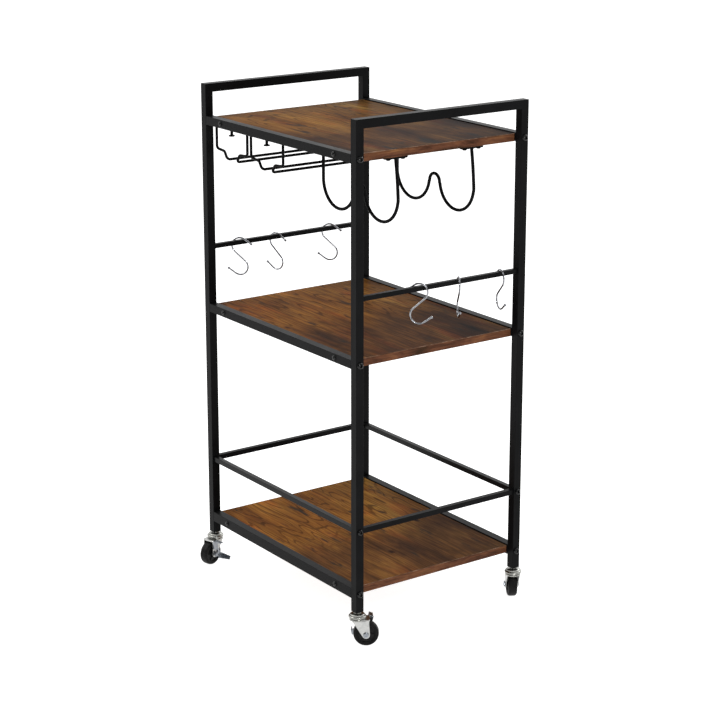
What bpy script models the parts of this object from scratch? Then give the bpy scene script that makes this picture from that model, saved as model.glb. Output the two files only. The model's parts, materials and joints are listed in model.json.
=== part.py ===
"""Three-shelf bar cart on four swivel casters, the front two with brakes.

+X runs along the long side, +Y to the back, +Z up.  The origin is on the floor,
under the middle of the cart.
"""

import math

import bmesh
import bpy
from mathutils import Matrix, Vector

MM = 0.001
GAP = 0.3 * MM

# --- overall size -----------------------------------------------------------
LENGTH = 466.0 * MM
DEPTH = 350.0 * MM
CASTER_HEIGHT = 59.5 * MM
FRAME_HEIGHT = 827.0 * MM

# --- square tubes and bars --------------------------------------------------
TUBE = 15.0 * MM
TUBE_WALL = 1.2 * MM
BOTTOM_RAIL_HEIGHT = 18.0 * MM
HOOK_RAIL = 8.0 * MM
GUARD_RAIL = 9.0 * MM
WELD_OVERLAP = 0.6 * MM

# --- heights above the feet of the posts ------------------------------------
TOP_SHELF_Z = 771.0 * MM
MIDDLE_SHELF_Z = 434.5 * MM
BOTTOM_SHELF_Z = 40.7 * MM
HOOK_RAIL_Z = 540.0 * MM
GUARD_RAIL_Z = 146.0 * MM

# --- shelf panels -----------------------------------------------------------
PANEL_THICKNESS = 13.5 * MM
PANEL_DROP = 1.5 * MM
PANEL_END_INSET = 1.0 * MM

# --- fasteners --------------------------------------------------------------
NUT_BLOCK = 6.0 * MM
BOLT_RADIUS = 3.0 * MM
BOLT_HEAD_RADIUS = 5.3 * MM
BOLT_HEAD_HEIGHT = 2.8 * MM
BOLT_REACH = 24.0 * MM
GUARD_BOLT_RADIUS = 2.0 * MM
GUARD_BOLT_HEAD_RADIUS = 4.6 * MM

# --- casters ----------------------------------------------------------------
WHEEL_RADIUS = 21.5 * MM
WHEEL_WIDTH = 16.0 * MM
CASTER_TRAIL = 14.5 * MM
AXLE_RADIUS = 3.0 * MM
STEM_RADIUS = 4.0 * MM
STEM_REACH = 14.0 * MM
FOOT_PLUG = 12.0 * MM
FORK_GAP_HALF = 9.7 * MM
FORK_PLATE = 1.8 * MM
CUP_RADIUS = 15.0 * MM
BRAKE_PLATE = 2.0 * MM
CASTER_YAW = {
    "front_left": 288.0,
    "back_left": 84.0,
    "front_right": 54.0,
    "back_right": 149.0,
}
# Only the front casters carry a brake; the number is its lever's angle at rest.
BRAKE_REST = {"front_left": -16.0, "front_right": 0.0}

# --- S-hooks ----------------------------------------------------------------
HOOK_WIRE = 1.5 * MM
HOOK_LOOP = 14.5 * MM
HOOK_SPACING = 39.0 * MM
HOOK_ARC_START = 55.0
HOOK_TIP = 14.0 * MM
HOOK_PLACES = (
    ("hook_left_front", -1, -105.0 * MM, 45.0),
    ("hook_left_middle", -1, -27.0 * MM, 18.0),
    ("hook_left_back", -1, 90.0 * MM, 44.0),
    ("hook_right_front", 1, -44.0 * MM, 226.0),
    ("hook_right_middle", 1, 38.0 * MM, 149.0),
    ("hook_right_back", 1, 127.0 * MM, 164.0),
)

# --- racks under the top shelf ----------------------------------------------
GLASS_WIRE = 2.4 * MM
GLASS_DROP = 73.0 * MM
GLASS_STEP = 15.5 * MM
GLASS_WIDTH = 99.0 * MM
GLASS_SLOT = 31.0 * MM
GLASS_X = {"left": -165.0 * MM, "right": -54.0 * MM}
GLASS_FRONT_Y = -155.5 * MM
GLASS_BACK_Y = 110.0 * MM
WINE_WIRE = 2.8 * MM
WINE_Y = {"front": -78.0 * MM, "back": 77.0 * MM}
WINE_LEFT_X = 1.0 * MM
WINE_RIGHT_X = 213.0 * MM
WINE_CRADLE = 46.0 * MM
WINE_DROP = 130.0 * MM
WINE_LEAN = 7.5 * MM
TAB_THICKNESS = 2.6 * MM

# --- derived ----------------------------------------------------------------
XO = LENGTH / 2
XI = XO - TUBE
YO = DEPTH / 2
YI = YO - TUBE
POST_X = XO - TUBE / 2
POST_Y = YO - TUBE / 2
FOOT_Z = CASTER_HEIGHT
TOP_Z = FOOT_Z + FRAME_HEIGHT
PANEL_UNDER = FOOT_Z + TOP_SHELF_Z - PANEL_DROP - PANEL_THICKNESS
SHELVES = {
    "top": (TOP_SHELF_Z, TUBE),
    "middle": (MIDDLE_SHELF_Z, TUBE),
    "bottom": (BOTTOM_SHELF_Z, BOTTOM_RAIL_HEIGHT),
}
SIDES = {"left": -1, "right": 1}
ENDS = {"front": -1, "back": 1}


# ---------------------------------------------------------------------------
# Materials
# ---------------------------------------------------------------------------
def make_material(name, colour, roughness, metallic):
    mat = bpy.data.materials.new(name)
    mat.use_nodes = True
    shader = mat.node_tree.nodes["Principled BSDF"]
    shader.inputs["Base Color"].default_value = (*colour, 1.0)
    shader.inputs["Roughness"].default_value = roughness
    shader.inputs["Metallic"].default_value = metallic
    return mat


# ---------------------------------------------------------------------------
# Meshes
# ---------------------------------------------------------------------------
def add_box(bm, low, high):
    """Add an axis-aligned box between two corners."""
    size = Vector(high) - Vector(low)
    middle = (Vector(high) + Vector(low)) / 2
    matrix = Matrix.Translation(middle) @ Matrix.Diagonal((*size, 1.0))
    bmesh.ops.create_cube(bm, size=1.0, matrix=matrix)


def clearance(radius, segments):
    """Radius of a faceted bore that clears a round pin of the given radius by GAP."""
    return (radius + GAP) / math.cos(math.pi / segments)


def add_rod(bm, start, end, radius, segments=8):
    """Add a closed cylinder between two points."""
    axis = Vector(end) - Vector(start)
    turn = Vector((0, 0, 1)).rotation_difference(axis).to_matrix().to_4x4()
    matrix = Matrix.Translation((Vector(start) + Vector(end)) / 2) @ turn
    bmesh.ops.create_cone(bm, cap_ends=True, segments=segments, radius1=radius,
                          radius2=radius, depth=axis.length, matrix=matrix)


def add_prism(bm, outline, offset, depth):
    """Add a closed prism: outline points (3-D, counter-clockwise seen against depth)."""
    shift = Vector(offset)
    base = [bm.verts.new(Vector(p) + shift) for p in outline]
    top = [bm.verts.new(v.co + Vector(depth)) for v in base]
    count = len(base)
    bm.faces.new(list(reversed(base)))
    bm.faces.new(top)
    for i in range(count):
        j = (i + 1) % count
        bm.faces.new((base[i], base[j], top[j], top[i]))


def add_lathe(bm, profile, segments=24):
    """Add a solid of revolution about Z from (radius, z) pairs that run downwards.

    A radius of zero at either end closes the solid on the axis; otherwise the
    profile is a closed loop round a bore.
    """
    closed_loop = profile[0][0] > 0 and profile[-1][0] > 0
    rings = []
    for radius, height in profile:
        if radius == 0:
            rings.append([bm.verts.new((0, 0, height))])
            continue
        ring = []
        for k in range(segments):
            angle = 2 * math.pi * k / segments
            ring.append(bm.verts.new((radius * math.cos(angle), radius * math.sin(angle), height)))
        rings.append(ring)
    pairs = list(zip(rings, rings[1:]))
    if closed_loop:
        pairs.append((rings[-1], rings[0]))
    for upper, lower in pairs:
        for k in range(segments):
            n = (k + 1) % segments
            if len(upper) == 1:
                bm.faces.new((upper[0], lower[k], lower[n]))
            elif len(lower) == 1:
                bm.faces.new((upper[k], lower[0], upper[n]))
            else:
                bm.faces.new((upper[k], lower[k], lower[n], upper[n]))


def rounded(points, radius, steps=4):
    """Replace the inner corners of a polyline with arcs."""
    points = [Vector(p) for p in points]
    result = [points[0]]
    for before, corner, after in zip(points, points[1:], points[2:]):
        a = (before - corner).normalized()
        b = (after - corner).normalized()
        half = a.angle(b) / 2
        reach = min(radius / math.tan(half), 0.45 * (before - corner).length,
                    0.45 * (after - corner).length)
        real = reach * math.tan(half)
        centre = corner + (a + b).normalized() * (real / math.sin(half))
        start = (corner + a * reach - centre).normalized()
        end = (corner + b * reach - centre).normalized()
        for k in range(steps + 1):
            result.append(centre + start.slerp(end, k / steps) * real)
    result.append(points[-1])
    return result


def add_wire(bm, path, radius, sides=6, ball=0.0):
    """Sweep a round wire along a polyline; ball > 0 swells both tips."""
    path = [Vector(p) for p in path]
    radii = [radius] * len(path)
    if ball > 0:
        first = (path[0] - path[1]).normalized()
        last = (path[-1] - path[-2]).normalized()
        steps = ((0.15, ball), (0.75, ball), (1.0, 0.55 * ball))
        head = [(path[0] + first * ball * s * 1.6, r) for s, r in steps]
        tail = [(path[-1] + last * ball * s * 1.6, r) for s, r in steps]
        path = [p for p, _ in reversed(head)] + path + [p for p, _ in tail]
        radii = [r for _, r in reversed(head)] + radii + [r for _, r in tail]
    tangent = (path[1] - path[0]).normalized()
    normal = tangent.orthogonal().normalized()
    rings = []
    for i, point in enumerate(path):
        back = path[max(i - 1, 0)]
        ahead = path[min(i + 1, len(path) - 1)]
        new_tangent = (ahead - back).normalized()
        normal = tangent.rotation_difference(new_tangent) @ normal
        tangent = new_tangent
        other = tangent.cross(normal)
        ring = []
        for k in range(sides):
            angle = 2 * math.pi * k / sides
            offset = normal * math.cos(angle) + other * math.sin(angle)
            ring.append(bm.verts.new(point + offset * radii[i]))
        rings.append(ring)
    for a, b in zip(rings, rings[1:]):
        for k in range(sides):
            n = (k + 1) % sides
            bm.faces.new((a[k], a[n], b[n], b[k]))
    bm.faces.new(list(reversed(rings[0])))
    bm.faces.new(rings[-1])


def add_object(name, bm, mat, smooth_angle=0.0, location=(0, 0, 0), parent=None):
    mesh = bpy.data.meshes.new(name)
    bmesh.ops.recalc_face_normals(bm, faces=bm.faces)
    bm.to_mesh(mesh)
    bm.free()
    mesh.materials.append(mat)
    if smooth_angle:
        mesh.shade_smooth()
        mesh.set_sharp_from_angle(angle=math.radians(smooth_angle))
    return place_mesh(name, mesh, location, parent)


def place_mesh(name, mesh, location=(0, 0, 0), parent=None):
    obj = bpy.data.objects.new(name, mesh)
    bpy.context.scene.collection.objects.link(obj)
    obj.location = location
    obj.parent = parent
    return obj


def combine(obj, build_tool, operation):
    """Apply a boolean whose tool mesh is filled in by build_tool(bm)."""
    bm = bmesh.new()
    build_tool(bm)
    bmesh.ops.recalc_face_normals(bm, faces=bm.faces)
    mesh = bpy.data.meshes.new(obj.name + "_tool")
    bm.to_mesh(mesh)
    bm.free()
    tool = place_mesh(obj.name + "_tool", mesh)
    modifier = obj.modifiers.new("combine", "BOOLEAN")
    modifier.operation = operation
    modifier.object = tool
    depsgraph = bpy.context.evaluated_depsgraph_get()
    result = bpy.data.meshes.new_from_object(obj.evaluated_get(depsgraph))
    obj.modifiers.clear()
    obj.data = result
    bpy.data.objects.remove(tool)


# ---------------------------------------------------------------------------
# Frame
# ---------------------------------------------------------------------------
def bolt_heights():
    """Height of every frame bolt above the floor, with its clearance radius."""
    heights = {}
    for level, (top, tall) in SHELVES.items():
        heights[level] = (FOOT_Z + top - tall / 2, BOLT_RADIUS)
    heights["guard"] = (FOOT_Z + GUARD_RAIL_Z - GUARD_RAIL / 2, GUARD_BOLT_RADIUS)
    return heights


def hoop_outline(x, inset, foot):
    """Inverted-U outline of two posts and the handle, shrunk by inset."""
    return [
        (x, -YO + inset, foot),
        (x, -YI - inset, foot),
        (x, -YI - inset, TOP_Z - TUBE + inset),
        (x, YI + inset, TOP_Z - TUBE + inset),
        (x, YI + inset, foot),
        (x, YO - inset, foot),
        (x, YO - inset, TOP_Z - inset),
        (x, -YO + inset, TOP_Z - inset),
    ]


def end_frame(side, mat):
    sign = SIDES[side]
    low_x = sign * POST_X - TUBE / 2
    bm = bmesh.new()
    add_prism(bm, hoop_outline(low_x, 0.0, FOOT_Z), (0, 0, 0), (TUBE, 0, 0))
    frame = add_object(side + "_end_frame", bm, mat)

    def cross_bars(tool):
        reach = YI + WELD_OVERLAP
        for top, size in ((HOOK_RAIL_Z, HOOK_RAIL), (GUARD_RAIL_Z, GUARD_RAIL)):
            add_box(tool, (sign * POST_X - size / 2, -reach, FOOT_Z + top - size),
                    (sign * POST_X + size / 2, reach, FOOT_Z + top))

    def hollow(tool):
        outline = hoop_outline(low_x + TUBE_WALL, TUBE_WALL, FOOT_Z + FOOT_PLUG)
        add_prism(tool, outline, (0, 0, 0), (TUBE - 2 * TUBE_WALL, 0, 0))

    def holes(tool):
        for y in (-POST_Y, POST_Y):
            add_rod(tool, (sign * POST_X, y, FOOT_Z - TUBE), (sign * POST_X, y, FOOT_Z + FOOT_PLUG + MM),
                    clearance(STEM_RADIUS, 12), 12)
            for height, radius in bolt_heights().values():
                add_rod(tool, (low_x - MM, y, height), (low_x + TUBE + MM, y, height), clearance(radius, 8))

    combine(frame, cross_bars, "UNION")
    combine(frame, hollow, "DIFFERENCE")
    combine(frame, holes, "DIFFERENCE")
    return frame


def long_rail(name, y, top, width, tall, hole, mat):
    """Square tube between the end frames, closed at each end by a drilled nut block."""
    reach = XI - GAP
    wall = TUBE_WALL
    bm = bmesh.new()
    add_box(bm, (-reach, y - width / 2, top - tall), (reach, y + width / 2, top))
    rail = add_object(name, bm, mat)

    def hollow(tool):
        inner = reach - NUT_BLOCK
        add_box(tool, (-inner, y - width / 2 + wall, top - tall + wall),
                (inner, y + width / 2 - wall, top - wall))

    def holes(tool):
        for sign in (-1, 1):
            start = (sign * (reach + MM), y, top - tall / 2)
            end = (sign * (reach - NUT_BLOCK - MM), y, top - tall / 2)
            add_rod(tool, start, end, clearance(hole, 8))

    combine(rail, hollow, "DIFFERENCE")
    combine(rail, holes, "DIFFERENCE")
    return rail


def frame_bolts(mat):
    """Button-head bolts through the posts into the nut blocks of the rails."""
    meshes = {}
    for kind, shank, head in (("rail", BOLT_RADIUS, BOLT_HEAD_RADIUS),
                              ("guard", GUARD_BOLT_RADIUS, GUARD_BOLT_HEAD_RADIUS)):
        tall = BOLT_HEAD_HEIGHT
        profile = [(0, tall), (0.55 * head, 0.85 * tall), (0.88 * head, 0.45 * tall), (head, 0),
                   (shank, 0), (shank, -BOLT_REACH), (0, -BOLT_REACH)]
        bm = bmesh.new()
        add_lathe(bm, profile, 12)
        holder = add_object("bolt_" + kind, bm, mat, 50)
        meshes[kind] = holder.data
        bpy.data.objects.remove(holder)
    for side, sx in SIDES.items():
        for end, sy in ENDS.items():
            for level, (height, _) in bolt_heights().items():
                mesh = meshes["guard" if level == "guard" else "rail"]
                bolt = place_mesh("bolt_%s_%s_%s" % (end, side, level), mesh,
                                  (sx * (XO + GAP), sy * POST_Y, height))
                bolt.rotation_euler = (0, sx * math.pi / 2, 0)


def shelf_panel(level, mat):
    top = FOOT_Z + SHELVES[level][0] - PANEL_DROP
    reach_x = XI - PANEL_END_INSET
    reach_y = YI - GAP
    bm = bmesh.new()
    add_box(bm, (-reach_x, -reach_y, top - PANEL_THICKNESS), (reach_x, reach_y, top))
    return add_object("panel_" + level, bm, mat)


# ---------------------------------------------------------------------------
# Racks under the top shelf
# ---------------------------------------------------------------------------
def glass_rack(side, mat):
    """Two wires that step inwards below their drops and run back as rails for glass feet."""
    x = GLASS_X[side]
    rail_z = FOOT_Z + TOP_SHELF_Z - GLASS_DROP
    step_z = rail_z + GLASS_STEP
    roof = PANEL_UNDER - GAP
    half = GLASS_WIDTH / 2
    slot = GLASS_SLOT / 2
    front = GLASS_FRONT_Y
    back = GLASS_BACK_Y

    def rail_path(sign):
        drop_x = x + sign * half
        knee_x = x + sign * (slot + 9 * MM)
        rail_x = x + sign * slot
        return rounded([
            (drop_x, front, roof - MM),
            (drop_x, front, step_z),
            (knee_x, front, step_z - 2 * MM),
            (rail_x, front, rail_z),
            (rail_x, back, rail_z),
            (knee_x, back, step_z - 2 * MM),
            (drop_x, back, step_z),
            (drop_x, back, roof - MM),
        ], 6 * MM, 2)

    bm = bmesh.new()
    add_wire(bm, rail_path(-1), GLASS_WIRE)
    rack = add_object("glass_rack_" + side, bm, mat, 40)

    def weld_rail(tool):
        add_wire(tool, rail_path(1), GLASS_WIRE)

    def weld_strap(y):
        def build(tool):
            reach = half + GLASS_WIRE + 0.2 * MM
            add_box(tool, (x - reach, y - 4.3 * MM, roof - TAB_THICKNESS), (x + reach, y + 4.3 * MM, roof))
        return build

    def weld_pin(y):
        def build(tool):
            foot = PANEL_UNDER - 15 * MM
            add_lathe(tool, [(0, roof - MM), (2.5 * MM, roof - MM), (2.5 * MM, foot + 2.4 * MM),
                             (5.5 * MM, foot + 2.4 * MM), (5.5 * MM, foot), (0, foot)], 8)
            bmesh.ops.translate(tool, verts=tool.verts, vec=(x, y, 0))
        return build

    combine(rack, weld_strap(front), "UNION")
    combine(rack, weld_strap(back), "UNION")
    combine(rack, weld_rail, "UNION")
    combine(rack, weld_pin(front), "UNION")
    combine(rack, weld_pin(back), "UNION")
    return rack


def wine_rack(end, mat):
    """One W-shaped wire that carries two bottles, with a screwed tab on each leg."""
    y = WINE_Y[end]
    roof = PANEL_UNDER - GAP
    lowest = FOOT_Z + TOP_SHELF_Z - WINE_DROP
    centre_z = lowest + WINE_CRADLE
    middle = (WINE_LEFT_X + WINE_RIGHT_X) / 2
    crest_radius = (WINE_RIGHT_X - WINE_LEFT_X - 4 * WINE_CRADLE) / 2
    crest_z = centre_z - 7.5 * MM
    path = [(WINE_LEFT_X, y, roof - MM)]
    for k in range(10):
        angle = math.radians(180 + 170 * k / 9)
        path.append((WINE_LEFT_X + WINE_CRADLE * (1 + math.cos(angle)), y,
                     centre_z + WINE_CRADLE * math.sin(angle)))
    for k in range(5):
        angle = math.radians(180 - 45 * k)
        path.append((middle + crest_radius * math.cos(angle), y,
                     crest_z + crest_radius * math.sin(angle)))
    mirrored = [(2 * middle - px, py, pz) for px, py, pz in reversed(path[1:11])]
    mirrored.append((WINE_RIGHT_X - WINE_LEAN, y, roof - MM))
    bm = bmesh.new()
    add_wire(bm, path + mirrored, WINE_WIRE)
    rack = add_object("wine_rack_" + end, bm, mat, 40)

    def weld_tabs(tool):
        for x in (WINE_LEFT_X, WINE_RIGHT_X - WINE_LEAN):
            add_box(tool, (x - 6 * MM, y - 23 * MM, roof - TAB_THICKNESS), (x + 6 * MM, y + 23 * MM, roof))

    combine(rack, weld_tabs, "UNION")
    return rack


# ---------------------------------------------------------------------------
# S-hooks
# ---------------------------------------------------------------------------
def hook_mesh(mat):
    """S-hook in the XZ plane; the origin is the centre of the upper loop."""
    cross = math.degrees(math.acos(2 * HOOK_LOOP / HOOK_SPACING))
    path = []
    for k in range(10):
        angle = math.radians(HOOK_ARC_START + (270 - cross - HOOK_ARC_START) * k / 9)
        path.append((HOOK_LOOP * math.cos(angle), 0, HOOK_LOOP * math.sin(angle)))
    leave = math.radians(HOOK_ARC_START)
    tip = Vector(path[0]) + Vector((math.sin(leave), 0, -math.cos(leave))) * HOOK_TIP
    upper = [tuple(tip)] + path
    lower = [(-px, py, -HOOK_SPACING - pz) for px, py, pz in reversed(upper)]
    bm = bmesh.new()
    add_wire(bm, upper + lower, HOOK_WIRE, 6, 2.2 * MM)
    holder = add_object("hook_master", bm, mat, 50)
    mesh = holder.data
    bpy.data.objects.remove(holder)
    return mesh


def hooks(mat):
    mesh = hook_mesh(mat)
    inner = HOOK_LOOP - HOOK_WIRE
    for name, side, y, yaw in HOOK_PLACES:
        turn = math.radians(yaw)
        reach = (HOOK_RAIL / 2 + HOOK_WIRE * abs(math.sin(turn))) / abs(math.cos(turn))
        height = FOOT_Z + HOOK_RAIL_Z - math.sqrt(inner ** 2 - reach ** 2) + GAP
        hook = place_mesh(name, mesh, (side * POST_X, y, height))
        hook.rotation_euler = (0, 0, turn)


# ---------------------------------------------------------------------------
# Casters: X is the trailing direction, Y the side with the brake, and the
# origin is on the swivel axis at the foot of the post.
# ---------------------------------------------------------------------------
AXLE_Z = WHEEL_RADIUS - CASTER_HEIGHT


def stem_piece(mat):
    profile = [(0, STEM_REACH), (STEM_RADIUS, STEM_REACH), (STEM_RADIUS, -GAP), (6.6 * MM, -GAP),
               (6.6 * MM, -3.0 * MM), (11.5 * MM, -3.3 * MM), (12.5 * MM, -5.2 * MM),
               (STEM_RADIUS, -5.2 * MM), (STEM_RADIUS, -14.7 * MM), (6.5 * MM, -14.7 * MM),
               (5.5 * MM, -16.2 * MM), (0, -16.2 * MM)]
    bm = bmesh.new()
    add_lathe(bm, profile, 12)
    return add_object("stem_master", bm, mat, 40)


def fork_piece(mat):
    """Ball-race cup, crown plate and two tapering cheeks, joined into one pressing."""
    bore = clearance(STEM_RADIUS, 16)
    cup = [(bore, -5.5 * MM), (13.2 * MM, -5.5 * MM), (CUP_RADIUS, -7.0 * MM),
           (CUP_RADIUS, -9.0 * MM), (13.6 * MM, -10.3 * MM), (13.6 * MM, -14.4 * MM),
           (bore, -14.4 * MM)]
    bm = bmesh.new()
    add_lathe(bm, cup, 16)
    fork = add_object("fork_master", bm, mat, 40)
    outer = FORK_GAP_HALF + FORK_PLATE
    end_radius = 6.5 * MM

    def crown(tool):
        outline = [(-8 * MM, -outer, 0), (CASTER_TRAIL + 2 * MM, -outer, 0),
                   (CASTER_TRAIL + end_radius, -outer + 4 * MM, 0),
                   (CASTER_TRAIL + end_radius, outer - 4 * MM, 0),
                   (CASTER_TRAIL + 2 * MM, outer, 0), (-8 * MM, outer, 0)]
        add_prism(tool, outline, (0, 0, -14.4 * MM), (0, 0, 2.8 * MM))

    def cheek(y0):
        def build(tool):
            outline = [(-8 * MM, y0, -12 * MM), (-8 * MM, y0, -15.6 * MM)]
            for k in range(6):
                angle = math.radians(215 + 145 * k / 5)
                outline.append((CASTER_TRAIL + end_radius * math.cos(angle), y0,
                                AXLE_Z + end_radius * math.sin(angle)))
            outline.append((CASTER_TRAIL + 5.5 * MM, y0, -12 * MM))
            add_prism(tool, outline, (0, 0, 0), (0, FORK_PLATE, 0))
        return build

    def bores(tool):
        add_rod(tool, (0, 0, -25 * MM), (0, 0, 0), bore, 16)
        add_rod(tool, (CASTER_TRAIL, -20 * MM, AXLE_Z), (CASTER_TRAIL, 20 * MM, AXLE_Z),
                clearance(AXLE_RADIUS, 12), 12)

    combine(fork, crown, "UNION")
    combine(fork, cheek(FORK_GAP_HALF), "UNION")
    combine(fork, cheek(-FORK_GAP_HALF - FORK_PLATE), "UNION")
    combine(fork, bores, "DIFFERENCE")
    return fork


def axle_piece(mat, braked):
    """Pin along Y with a head behind one cheek and a nut over the other one, or over its brake lever."""
    cheek = FORK_GAP_HALF + FORK_PLATE + GAP
    lever = cheek + BRAKE_PLATE + GAP if braked else cheek
    profile = [(0, lever + 2.4 * MM), (3.6 * MM, lever + 2.4 * MM), (5 * MM, lever + 1.2 * MM), (5 * MM, lever),
               (AXLE_RADIUS, lever), (AXLE_RADIUS, -cheek), (5 * MM, -cheek),
               (4 * MM, -cheek - 1.8 * MM), (0, -cheek - 1.8 * MM)]
    bm = bmesh.new()
    add_lathe(bm, profile, 12)
    bmesh.ops.rotate(bm, verts=bm.verts, matrix=Matrix.Rotation(-math.pi / 2, 3, "X"))
    return add_object("axle_master", bm, mat, 40)


def wheel_piece(mat):
    """Tyre and hub on one bore; origin on the axle, axis along Y."""
    half = WHEEL_WIDTH / 2
    bore = clearance(AXLE_RADIUS, 24)
    side = [(bore, half + MM), (7 * MM, half + MM), (7 * MM, half - 1.5 * MM), (15.8 * MM, half - 1.5 * MM),
            (16.8 * MM, half), (20.2 * MM, half - 0.8 * MM), (WHEEL_RADIUS, half - 3.6 * MM)]
    profile = side + [(radius, -height) for radius, height in reversed(side)]
    bm = bmesh.new()
    add_lathe(bm, profile, 24)
    bmesh.ops.rotate(bm, verts=bm.verts, matrix=Matrix.Rotation(-math.pi / 2, 3, "X"))
    return add_object("wheel_master", bm, mat, 35)


def brake_piece(mat):
    """Rocking lever beside the wheel with a pedal at each end; origin on the axle."""
    y0 = FORK_GAP_HALF + FORK_PLATE + GAP
    bm = bmesh.new()
    add_rod(bm, (0, y0, 0), (0, y0 + BRAKE_PLATE, 0), 8 * MM, 12)
    lever = add_object("brake_master", bm, mat, 40)

    def arm(tip_x, tip_z, half_width):
        def build(tool):
            tip = Vector((tip_x, 0, tip_z))
            across = Vector((-tip_z, 0, tip_x)).normalized() * half_width
            points = [across * 1.2, tip + across, tip - across, -across * 1.2]
            points = [(p.x, y0, p.z) for p in points]
            add_prism(tool, points, (0, 0, 0), (0, BRAKE_PLATE, 0))
        return build

    def pedal(tip_x, tip_z, reach):
        def build(tool):
            tip = Vector((tip_x, 0, tip_z))
            along = tip.normalized()
            across = Vector((-along.z, 0, along.x)) * 5 * MM
            inner = tip - along * 2 * MM
            points = [inner + across, tip + across, tip - across, inner - across]
            points = [(p.x, y0, p.z) for p in points]
            add_prism(tool, points, (0, 0, 0), (0, reach, 0))
        return build

    for tip_x, tip_z, half_width in ((-25 * MM, -5 * MM, 5 * MM), (8 * MM, 25 * MM, 5 * MM)):
        combine(lever, arm(tip_x, tip_z, half_width), "UNION")
        combine(lever, pedal(tip_x, tip_z, 17 * MM), "UNION")

    def bore(tool):
        add_rod(tool, (0, -MM, 0), (0, 30 * MM, 0), clearance(AXLE_RADIUS, 12), 12)

    combine(lever, bore, "DIFFERENCE")
    return lever


def casters(zinc, steel, rubber):
    masters = {
        "stem": stem_piece(zinc),
        "fork": fork_piece(zinc),
        "axle": axle_piece(steel, False),
        "braked_axle": axle_piece(steel, True),
        "wheel": wheel_piece(rubber),
        "brake": brake_piece(zinc),
    }
    meshes = {kind: obj.data for kind, obj in masters.items()}
    for obj in masters.values():
        bpy.data.objects.remove(obj)
    for side, sx in SIDES.items():
        for end, sy in ENDS.items():
            corner = end + "_" + side
            foot = bpy.data.objects.new("swivel_" + corner, None)
            bpy.context.scene.collection.objects.link(foot)
            foot.location = (sx * POST_X, sy * POST_Y, FOOT_Z)
            foot.rotation_euler = (0, 0, math.radians(CASTER_YAW[corner]))
            for kind in ("stem", "fork"):
                place_mesh(kind + "_" + corner, meshes[kind], parent=foot)
            braked = corner in BRAKE_REST
            axle = meshes["braked_axle"] if braked else meshes["axle"]
            place_mesh("axle_" + corner, axle, (CASTER_TRAIL, 0, AXLE_Z), foot)
            place_mesh("wheel_" + corner, meshes["wheel"], (CASTER_TRAIL, 0, AXLE_Z), foot)
            if braked:
                lever = place_mesh("brake_" + corner, meshes["brake"], (CASTER_TRAIL, 0, AXLE_Z), foot)
                lever.rotation_euler = (0, math.radians(BRAKE_REST[corner]), 0)


# ---------------------------------------------------------------------------
# Build
# ---------------------------------------------------------------------------
def build():
    for obj in list(bpy.data.objects):
        bpy.data.objects.remove(obj)
    black = make_material("powder_coat_black", (0.012, 0.012, 0.013), 0.42, 0.0)
    board = make_material("rustic_board", (0.16, 0.07, 0.028), 0.45, 0.0)
    chrome = make_material("chrome", (0.75, 0.75, 0.76), 0.12, 1.0)
    zinc = make_material("zinc_plate", (0.56, 0.56, 0.53), 0.32, 1.0)
    steel = make_material("plated_steel", (0.45, 0.45, 0.44), 0.35, 1.0)
    rubber = make_material("wheel_rubber", (0.012, 0.012, 0.012), 0.55, 0.0)
    bolt = make_material("bolt_black", (0.02, 0.02, 0.02), 0.3, 0.6)

    for side in SIDES:
        end_frame(side, black)
    for level, (top, tall) in SHELVES.items():
        for end, sign in ENDS.items():
            long_rail("rail_%s_%s" % (level, end), sign * POST_Y, FOOT_Z + top, TUBE, tall,
                      BOLT_RADIUS, black)
        shelf_panel(level, board)
    for end, sign in ENDS.items():
        long_rail("guard_rail_" + end, sign * POST_Y, FOOT_Z + GUARD_RAIL_Z, GUARD_RAIL, GUARD_RAIL,
                  GUARD_BOLT_RADIUS, black)
    frame_bolts(bolt)
    for side in GLASS_X:
        glass_rack(side, black)
    for end in WINE_Y:
        wine_rack(end, black)
    hooks(chrome)
    casters(zinc, steel, rubber)


build()
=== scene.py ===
import json
import math

import bmesh
import bpy
from mathutils import Matrix, Vector


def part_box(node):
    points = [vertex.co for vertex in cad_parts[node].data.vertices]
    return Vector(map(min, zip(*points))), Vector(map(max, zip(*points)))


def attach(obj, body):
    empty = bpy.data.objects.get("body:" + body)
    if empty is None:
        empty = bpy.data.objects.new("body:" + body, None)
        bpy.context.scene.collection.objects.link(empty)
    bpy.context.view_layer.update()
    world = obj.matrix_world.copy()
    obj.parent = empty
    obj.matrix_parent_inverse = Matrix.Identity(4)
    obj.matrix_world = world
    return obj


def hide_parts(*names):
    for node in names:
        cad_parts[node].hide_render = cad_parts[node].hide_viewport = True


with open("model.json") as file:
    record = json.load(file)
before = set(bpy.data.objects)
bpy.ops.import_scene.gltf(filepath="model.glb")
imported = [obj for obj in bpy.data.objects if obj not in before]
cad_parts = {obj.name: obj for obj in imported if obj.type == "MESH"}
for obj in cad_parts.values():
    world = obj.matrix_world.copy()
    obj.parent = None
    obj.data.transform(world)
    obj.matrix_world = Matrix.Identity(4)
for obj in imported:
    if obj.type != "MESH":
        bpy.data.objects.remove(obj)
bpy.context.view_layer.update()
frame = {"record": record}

MM = 0.001
CART = "cart"
RECORD = frame["record"]
JOINTS = {j["name"]: j for j in RECORD["behaviour"]["joints"]}
CORNERS = ("front_left", "front_right", "back_left", "back_right")
LEVELS = ("top", "middle", "bottom")
SIDES = {"left": -1, "right": 1}
ENDS = {"front": -1, "back": 1}


# ---------------------------------------------------------------------------
# Camera, light and floor
# ---------------------------------------------------------------------------
MID_CART = (0, 0, 0.45)
BRIGHT_SIDE = (-0.55, 0.40, 0.75)  # direction of the brightest part of the surround


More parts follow.
